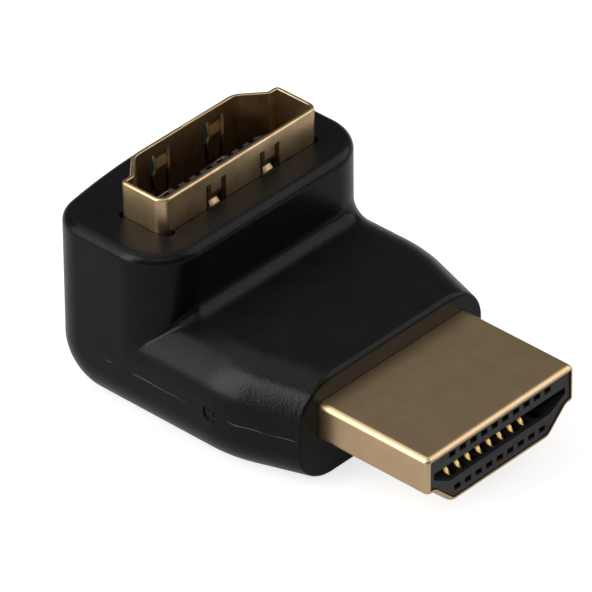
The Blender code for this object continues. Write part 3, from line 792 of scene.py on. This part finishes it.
def build_socket_shell(material):
    """Folded sheet tube of the socket with four spring fingers and four solder tabs."""
    shell = build_shell("socket_shell_sheet", socket_point, socket_outline, SOCKET_BASE_Z,
                        SOCKET_LIP_Z, SOCKET_OFFSET, SOCKET_LIP)
    top_z = SOCKET_LIP_Z - FINGER_DROP
    low_z = BODY_HEIGHT - WINDOW_SINK
    reach = FINGER_WIDTH / 2 + FINGER_SLOT
    windows = []
    fingers = []
    for wall_x in (SOCKET_WALL_X, -SOCKET_WALL_X):
        for side in (-1, 1):
            y = SOCKET_Y + FINGER_OFFSET + side * FINGER_SPACING / 2
            windows.append(((wall_x - SHEET, y - reach, low_z), (wall_x + SHEET, y + reach, top_z)))
            fingers.append((ribbon(finger_path(wall_x, top_z), STRIP_SHEET), y))
    combine(shell, [boxes("windows", windows)])
    soften(shell, SHEET_EDGE)
    strips = side_solids("fingers", fingers, FINGER_WIDTH)
    soften(strips, SHEET_EDGE)
    half = Vector((TAB_WIDTH, STRIP_SHEET, 0)) / 2
    tabs = []
    for i in (-1, 1):
        for j in (-1, 1):
            x = TAB_CENTRE_X + i * TAB_SPACING / 2
            y = SOCKET_Y + j * SOCKET_END_Y
            foot = Vector((x, y, SOCKET_LOW.z))
            head = Vector((x, y, SOCKET_BASE_Z + OVERCUT))
            tabs.append((foot - half, head + half))
    combine(shell, [strips, boxes("tabs", tabs)], "UNION")
    finish(shell, material, ["socket_shell"])


# Insulators

def channel_outline(face, side, hole_depth):
    """Side view of a contact's channel in the plug block, with the square hole at its nose."""
    hole_top = hole_depth - NOSE_HOLE / 2
    hole_bottom = hole_depth + NOSE_HOLE / 2
    tunnel_top = CONTACT_SINK - TUNNEL_GAP
    tunnel_bottom = CONTACT_SINK + CONTACT_SHEET + TUNNEL_GAP
    back = SLOT_DEPTH - TUNNEL_GAP
    past = PLUG_BLOCK_LENGTH + OVERCUT
    steps = [
        (-OVERCUT, hole_top), (NOSE_WALL, hole_top), (NOSE_WALL, -TUNNEL_GAP), (back, -TUNNEL_GAP),
        (back, tunnel_top), (past, tunnel_top), (past, tunnel_bottom), (back, tunnel_bottom),
        (back, hole_bottom), (-OVERCUT, hole_bottom),
    ]
    return [(PLUG_FACE_X - run, PLUG_AXIS_Z + face + side * depth) for run, depth in steps]


def build_plug_insulator(material):
    """Block that fills the plug shell, with the slot and a channel for each contact."""
    outline = connector_outline(-SHEET - FIT_GAP)
    block = lofted("plug_insulator_block", [
        [plug_point(a, b, x) for a, b in outline] for x in (PLUG_BLOCK_BACK_X, PLUG_FACE_X)
    ])
    outline = slot_outline(0, 0)
    slot = lofted("slot", [
        [plug_point(a, b, x) for a, b in outline] for x in (PLUG_FACE_X - SLOT_DEPTH, PLUG_FACE_X + OVERCUT)
    ])
    combine(block, [slot])
    wide = channel_outline(SLOT_WIDE_FACE, 1, WIDE_HOLE_DEPTH)
    narrow = channel_outline(SLOT_NARROW_FACE, -1, NARROW_HOLE_DEPTH)
    channels = [(wide, y) for y in row_places(WIDE_ROW)] + [(narrow, y) for y in row_places(NARROW_ROW)]
    combine(block, [side_solids("channels", channels, CHANNEL_WIDTH)])
    soften(block, MOULD_EDGE)
    finish(block, material, ["plug_insulator"])


def build_socket_insulator(material):
    """Block in the bottom of the socket shell, with the grooved tongue that enters the plug."""
    outline = socket_outline(SOCKET_OFFSET - SHEET - FIT_GAP)
    block = lofted("socket_insulator_block", [
        [socket_point(a, b, z) for a, b in outline] for z in (SOCKET_BASE_Z, SOCKET_FLOOR_Z)
    ])
    outline = slot_outline(TONGUE_GAP, TONGUE_END_GAP)
    tongue = lofted("tongue", [
        [socket_point(a, b, z) for a, b in outline] for z in (SOCKET_FLOOR_Z - OVERCUT, TONGUE_TOP_Z)
    ])
    combine(block, [tongue], "UNION")
    reach = PLUG_WIDTH / 2 - STANDOFF_LENGTH
    low = (-PLUG_HEIGHT, SOCKET_Y - reach, SOCKET_BASE_Z - OVERCUT)
    high = (PLUG_HEIGHT, SOCKET_Y + reach, SOCKET_BASE_Z + STANDOFF_HEIGHT)
    grooves = []
    half = GROOVE_WIDTH / 2
    for count, face, side in ((WIDE_ROW, TONGUE_WIDE_FACE, 1), (NARROW_ROW, TONGUE_NARROW_FACE, -1)):
        low_x, high_x = sorted((face + side * TUNNEL_GAP, face - side * GROOVE_DEPTH))
        for across in row_places(count):
            y = SOCKET_Y + across
            grooves.append(((low_x, y - half, SOCKET_BASE_Z), (high_x, y + half, TONGUE_TOP_Z + OVERCUT)))
    combine(block, [boxes("foot_space", [(low, high)]), boxes("grooves", grooves)])
    soften(block, MOULD_EDGE)
    finish(block, material, ["socket_insulator"])


# Contacts

def plug_contact_path(face, side):
    """Middle line of a plug contact: nose, crest that stands into the slot, beam and solder tail."""
    crest_end = CREST_SETBACK + CREST_LENGTH
    crest_depth = CONTACT_SHEET / 2 - CREST_RISE
    steps = [
        (TIP_SETBACK, TIP_DEPTH),
        (CREST_SETBACK, crest_depth),
        (crest_end, crest_depth),
        (crest_end + SPRING_LENGTH, BEAM_DEPTH),
        (PLUG_BLOCK_LENGTH + TAIL_REACH, BEAM_DEPTH),
    ]
    path = [(PLUG_FACE_X - run, PLUG_AXIS_Z + face + side * depth) for run, depth in steps]
    return bent(path, CONTACT_BEND)


def socket_contact_path(face, side):
    """Middle line of a socket contact: blade on the tongue, then a foot on the board."""
    x = face - side * (CONTACT_GAP + CONTACT_SHEET / 2)
    foot_z = BOARD_HIGH.z + FIT_GAP + CONTACT_SHEET / 2
    path = [(x, TONGUE_TOP_Z - SOCKET_TIP_DROP), (x, foot_z), (x + side * FOOT_LENGTH, foot_z)]
    return bent(path, CONTACT_SHEET)


def build_contact(name, path, y, material, node):
    """Strip contact bent along its path, with its cut edges eased."""
    contact = side_solids(name, [(ribbon(path, CONTACT_SHEET), y)], CONTACT_WIDTH)
    soften(contact, CONTACT_EDGE)
    finish(contact, material, [node])


def build_contacts(material):
    """Every contact, at the place of its solid."""
    for kind, low, high, path in (
        ("plug", 1, WIDE_ROW, plug_contact_path(SLOT_WIDE_FACE, 1)),
        ("plug", WIDE_ROW + 1, PLUG_CONTACTS, plug_contact_path(SLOT_NARROW_FACE, -1)),
        ("socket", 1, WIDE_ROW, socket_contact_path(TONGUE_WIDE_FACE, 1)),
        ("socket", WIDE_ROW + 1, WIDE_ROW + NARROW_ROW, socket_contact_path(TONGUE_NARROW_FACE, -1)),
    ):
        for number in range(low, high + 1):
            node = f"{kind}_contact_{number:02d}"
            node_low, node_high = node_box(node)
            y = (node_low.y + node_high.y) / 2
            build_contact(f"{kind}_strip_{number:02d}", path, y, material, node)


# Circuit board

def dress_board(material):
    """Give the board, whose solid stays, its material."""
    for material_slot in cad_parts["circuit_board"].material_slots:
        material_slot.material = material


# Materials

BLACKS = ((0.0031, 0.0031, 0.0035), (0.0053, 0.0052, 0.0059))
# Colours of the parting line, a little greyer than the moulding's blacks
PARTING_LINE_GREYS = ((0.012, 0.012, 0.013), (0.05, 0.05, 0.052))
PLUG_GOLDS = ((0.665, 0.48, 0.285), (0.605, 0.425, 0.245))
SOCKET_GOLDS = ((0.73, 0.53, 0.305), (0.50, 0.355, 0.19))
CONTACT_GOLDS = ((0.84, 0.58, 0.235), (0.72, 0.46, 0.165))
INSULATOR_GREYS = ((0.0115, 0.011, 0.013), (0.017, 0.0155, 0.019))
BOARD_GREENS = ((0.015, 0.10, 0.045), (0.03, 0.14, 0.06))
ALONG_PLUG = (0.04, 1, 1)
ALONG_SOCKET = (1, 1, 0.04)
LEVEL_START = 0.8
LEVEL_END = 0.98
LEVEL_ROUGHNESS = 0.14


class Nodes:
    """Shorthand for a material's node tree."""

    def __init__(self, name):
        self.material = bpy.data.materials.new(name)
        self.material.use_nodes = True
        self.tree = self.material.node_tree
        self.shader = self.tree.nodes["Principled BSDF"]
        self.place = self.tree.nodes.new("ShaderNodeTexCoord").outputs["Object"]

    def add(self, kind, **settings):
        """Add a node and set its properties."""
        node = self.tree.nodes.new(kind)
        for key, value in settings.items():
            setattr(node, key, value)
        return node

    def link(self, source, target):
        """Join an output to an input."""
        self.tree.links.new(source, target)

    def noise(self, size, detail=2.0, stretch=(1, 1, 1), roughness=0.5):
        """Noise whose grains are about size millimetres across."""
        mapping = self.add("ShaderNodeMapping")
        mapping.inputs["Scale"].default_value = [s / (size * MM) for s in stretch]
        self.link(self.place, mapping.inputs["Vector"])
        noise = self.add("ShaderNodeTexNoise")
        noise.inputs["Scale"].default_value = 1.0
        noise.inputs["Detail"].default_value = detail
        noise.inputs["Roughness"].default_value = roughness
        self.link(mapping.outputs["Vector"], noise.inputs["Vector"])
        return noise.outputs["Fac"]

    def spread(self, value, low, high, start=0.3, end=0.7):
        """Stretch a value over a range."""
        node = self.add("ShaderNodeMapRange")
        node.inputs["From Min"].default_value = start
        node.inputs["From Max"].default_value = end
        node.inputs["To Min"].default_value = low
        node.inputs["To Max"].default_value = high
        self.link(value, node.inputs["Value"])
        return node.outputs["Result"]

    def upward(self):
        """How far the surface faces up, which is 1 on a level top."""
        axes = self.add("ShaderNodeSeparateXYZ")
        self.link(self.add("ShaderNodeNewGeometry").outputs["Normal"], axes.inputs[0])
        return axes.outputs["Z"]

    def sum(self, value, other):
        """Sum of two values."""
        node = self.add("ShaderNodeMath")
        self.link(value, node.inputs[0])
        self.link(other, node.inputs[1])
        return node.outputs[0]

    def scaled(self, value, share):
        """A value times a share."""
        node = self.add("ShaderNodeMath", operation="MULTIPLY")
        self.link(value, node.inputs[0])
        node.inputs[1].default_value = share
        return node.outputs[0]

    def blend(self, value, one, other):
        """Blend two colours by a value."""
        node = self.add("ShaderNodeMix", data_type="RGBA")
        node.inputs[6].default_value = (*one, 1)
        node.inputs[7].default_value = (*other, 1)
        self.link(value, node.inputs[0])
        return node.outputs[2]

    def bump(self, value, distance, strength=1.0, before=None):
        """Bump of a height in millimetres, over an earlier one."""
        node = self.add("ShaderNodeBump")
        node.inputs["Strength"].default_value = strength
        node.inputs["Distance"].default_value = distance * MM
        self.link(value, node.inputs["Height"])
        if before is not None:
            self.link(before, node.inputs["Normal"])
        return node.outputs["Normal"]

    def set(self, **values):
        """Set or link the shader's inputs, with their names' blanks as low lines."""
        for key, value in values.items():
            socket = self.shader.inputs[key.replace("_", " ")]
            if isinstance(value, bpy.types.NodeSocket):
                self.link(value, socket)
            else:
                socket.default_value = value
        return self.material


def black_plastic():
    """Satin black moulding, duller on its level tops than down its sides, with fine grain."""
    n = Nodes("satin_black_plastic")
    level = n.spread(n.upward(), 0, 1, LEVEL_START, LEVEL_END)
    grain = n.bump(n.noise(0.18, 2.0), 0.012)
    swell = n.bump(n.noise(2.5, 2.0), 0.012, before=grain)
    colour = n.blend(n.spread(n.noise(1.6, 4.0), 0, 1), *BLACKS)
    rough = n.sum(n.scaled(level, LEVEL_ROUGHNESS), n.spread(n.noise(0.5, 3.0), 0.21, 0.27))
    return n.set(Base_Color=colour, Roughness=rough, Normal=swell, Specular_IOR_Level=0.15)


def ridge_plastic():
    """Parting line, coloured a little greyer than the moulding."""
    n = Nodes("greyer_parting_line_plastic")
    colour = n.blend(n.spread(n.noise(0.8, 3.0), 0, 1), *PARTING_LINE_GREYS)
    rough = n.spread(n.noise(0.3, 2.0), 0.4, 0.6)
    return n.set(Base_Color=colour, Roughness=rough, Specular_IOR_Level=0.4)


def gold_plating(name, stretch, colours):
    """Dull gold plating on drawn sheet, with faint drawing lines and cloudy tarnish."""
    n = Nodes(name)
    cloud = n.spread(n.noise(1.4, 6.0, roughness=0.62), 0, 1)
    colour = n.blend(cloud, *colours)
    lines = n.noise(0.12, 2.0, stretch)
    rough = n.spread(n.noise(0.9, 4.0), 0.30, 0.325)
    normal = n.bump(n.noise(0.2, 3.0), 0.0012, before=n.bump(lines, 0.0008))
    return n.set(Base_Color=colour, Roughness=rough, Metallic=1.0, Normal=normal)


def contact_plating():
    """Brighter, yellower plating of the contacts."""
    n = Nodes("contact_gold_plating")
    colour = n.blend(n.spread(n.noise(0.4, 3.0), 0, 1), *CONTACT_GOLDS)
    rough = n.spread(n.noise(0.15, 3.0), 0.29, 0.4)
    return n.set(Base_Color=colour, Roughness=rough, Metallic=1.0, Normal=n.bump(n.noise(0.07), 0.002))


def insulator_plastic():
    """Dark grey moulded insulator with a faint violet tinge and flow marks."""
    n = Nodes("grey_insulator_plastic")
    colour = n.blend(n.spread(n.noise(0.9, 4.0), 0, 1), *INSULATOR_GREYS)
    rough = n.spread(n.noise(0.3, 3.0), 0.42, 0.58)
    grain = n.bump(n.noise(0.08, 3.0), 0.004)
    return n.set(Base_Color=colour, Roughness=rough, Normal=grain, Specular_IOR_Level=0.5)


def board_laminate():
    """Green solder mask over the woven laminate of the hidden board."""
    n = Nodes("green_board_laminate")
    weave = n.noise(0.25, 1.0, (1, 0.3, 1))
    colour = n.blend(n.spread(n.noise(1.2, 3.0), 0, 1), *BOARD_GREENS)
    rough = n.spread(n.noise(0.4, 2.0), 0.25, 0.4)
    return n.set(Base_Color=colour, Roughness=rough, Normal=n.bump(weave, 0.004))


# Studio

FLOOR_SIZE = 1600
FLOOR_DROP = 0.02
FLOOR_COLOUR = (0.45, 0.45, 0.45, 1)
FLOOR_ROUGHNESS = 0.9
FLOOR_LIFT = 0.75
MIRRORED_FLOOR = 0.26  # share of the floor's lift that mirrored rays meet
BACKDROP = 1.0
MIRRORED_BACKDROP = 0.1  # share of the backdrop that mirrored rays meet
ROOM = 0.022
ZENITH = 0.444
ZENITH_START = 0.64
LAMP_TARGET = (8, 0, 6)
BOX_DISTANCE = 500
# Each softbox: azimuth from +X and elevation in degrees, width and height, radiance of its face
SOFTBOXES = (
    ("left_softbox", -121, 28, 450, 600, 2.1),
    ("left_strip", -109, 19, 200, 690, 3.7),
    ("right_softbox", 60, 34, 500, 500, 1.5),
    ("front_softbox", -42, 52, 450, 300, 0.8),
    ("top_softbox", 178, 68, 400, 300, 1.1),
)


def seen_directly(tree, mirrored):
    """Value that is 1 for rays from the camera, and a share for mirrored rays and through glass."""
    path = tree.nodes.new("ShaderNodeLightPath")
    either = tree.nodes.new("ShaderNodeMath")
    either.operation = "MAXIMUM"
    tree.links.new(path.outputs["Is Glossy Ray"], either.inputs[0])
    tree.links.new(path.outputs["Is Transmission Ray"], either.inputs[1])
    share = tree.nodes.new("ShaderNodeMath")
    share.operation = "MULTIPLY"
    tree.links.new(either.outputs[0], share.inputs[0])
    share.inputs[1].default_value = mirrored
    total = tree.nodes.new("ShaderNodeMath")
    total.operation = "MAXIMUM"
    tree.links.new(path.outputs["Is Camera Ray"], total.inputs[0])
    tree.links.new(share.outputs[0], total.inputs[1])
    return total.outputs[0]


def build_floor():
    """Plain pale floor that keeps the object's shadow."""
    bm = bmesh.new()
    bmesh.ops.create_grid(bm, x_segments=1, y_segments=1, size=FLOOR_SIZE / 2 * MM)
    floor = object_from("floor", bm)
    floor.location.z = -FLOOR_DROP * MM
    material = bpy.data.materials.new("pale_floor")
    material.use_nodes = True
    tree = material.node_tree
    shader = tree.nodes["Principled BSDF"]
    shader.inputs["Base Color"].default_value = FLOOR_COLOUR
    shader.inputs["Roughness"].default_value = FLOOR_ROUGHNESS
    shader.inputs["Specular IOR Level"].default_value = 0.0
    level = tree.nodes.new("ShaderNodeMath")
    level.operation = "MULTIPLY"
    tree.links.new(seen_directly(tree, MIRRORED_FLOOR), level.inputs[0])
    level.inputs[1].default_value = FLOOR_LIFT
    glow = tree.nodes.new("ShaderNodeEmission")
    tree.links.new(level.outputs[0], glow.inputs["Strength"])
    both = tree.nodes.new("ShaderNodeAddShader")
    tree.links.new(shader.outputs[0], both.inputs[0])
    tree.links.new(glow.outputs[0], both.inputs[1])
    tree.links.new(both.outputs[0], tree.nodes["Material Output"].inputs["Surface"])
    floor.data.materials.append(material)


def build_world():
    """White backdrop; round the object a dim room with a soft ceiling."""
    world = bpy.data.worlds.new("studio")
    bpy.context.scene.world = world
    world.use_nodes = True
    tree = world.node_tree
    place = tree.nodes.new("ShaderNodeTexCoord")
    axes = tree.nodes.new("ShaderNodeSeparateXYZ")
    tree.links.new(place.outputs["Generated"], axes.inputs[0])
    room = tree.nodes.new("ShaderNodeMapRange")
    room.inputs["From Min"].default_value = ZENITH_START
    room.inputs["To Min"].default_value = ROOM
    room.inputs["To Max"].default_value = ZENITH
    tree.links.new(axes.outputs["Z"], room.inputs["Value"])
    level = tree.nodes.new("ShaderNodeMix")
    tree.links.new(seen_directly(tree, MIRRORED_BACKDROP), level.inputs[0])
    tree.links.new(room.outputs[0], level.inputs[2])
    level.inputs[3].default_value = BACKDROP
    tree.links.new(level.outputs[0], tree.nodes["Background"].inputs["Strength"])
    tree.nodes["Background"].inputs["Color"].default_value = (1, 1, 1, 1)


def build_softbox(name, azimuth, elevation, width, height, glow):
    """Soft lamp in a direction from the object; glow is the radiance of its face."""
    lamp = bpy.data.lights.new(name, "AREA")
    lamp.shape = "RECTANGLE"
    lamp.size = width * MM
    lamp.size_y = height * MM
    lamp.energy = glow * math.pi * lamp.size * lamp.size_y
    obj = bpy.data.objects.new(name, lamp)
    turn = math.radians(azimuth)
    rise = math.radians(elevation)
    way = Vector((math.cos(rise) * math.cos(turn), math.cos(rise) * math.sin(turn), math.sin(rise)))
    obj.location = (Vector(LAMP_TARGET) + way * BOX_DISTANCE) * MM
    obj.rotation_euler = way.to_track_quat("Z", "Y").to_euler()
    bpy.context.scene.collection.objects.link(obj)


def build_camera():
    """Camera at the photograph's viewing angle."""
    camera = bpy.data.cameras.new("camera")
    camera.sensor_width = SENSOR_WIDTH
    camera.lens = CAMERA_LENS
    camera.clip_start = CLIP_START
    camera.clip_end = CLIP_END
    camera.dof.use_dof = False
    obj = bpy.data.objects.new("camera", camera)
    obj.location = CAMERA_PLACE
    obj.rotation_euler = CAMERA_TURN
    bpy.context.scene.collection.objects.link(obj)
    bpy.context.scene.camera = obj


# The whole object, then the studio

insulator = insulator_plastic()
build_housing(black_plastic())
build_ridge(ridge_plastic())
build_plug_shell(gold_plating("dull_gold_plug", ALONG_PLUG, PLUG_GOLDS))
build_socket_shell(gold_plating("dull_gold_socket", ALONG_SOCKET, SOCKET_GOLDS))
build_plug_insulator(insulator)
build_socket_insulator(insulator)
build_contacts(contact_plating())
dress_board(board_laminate())

build_floor()
build_world()
for softbox in SOFTBOXES:
    build_softbox(*softbox)
build_camera()
bpy.context.scene.view_settings.view_transform = "Standard"
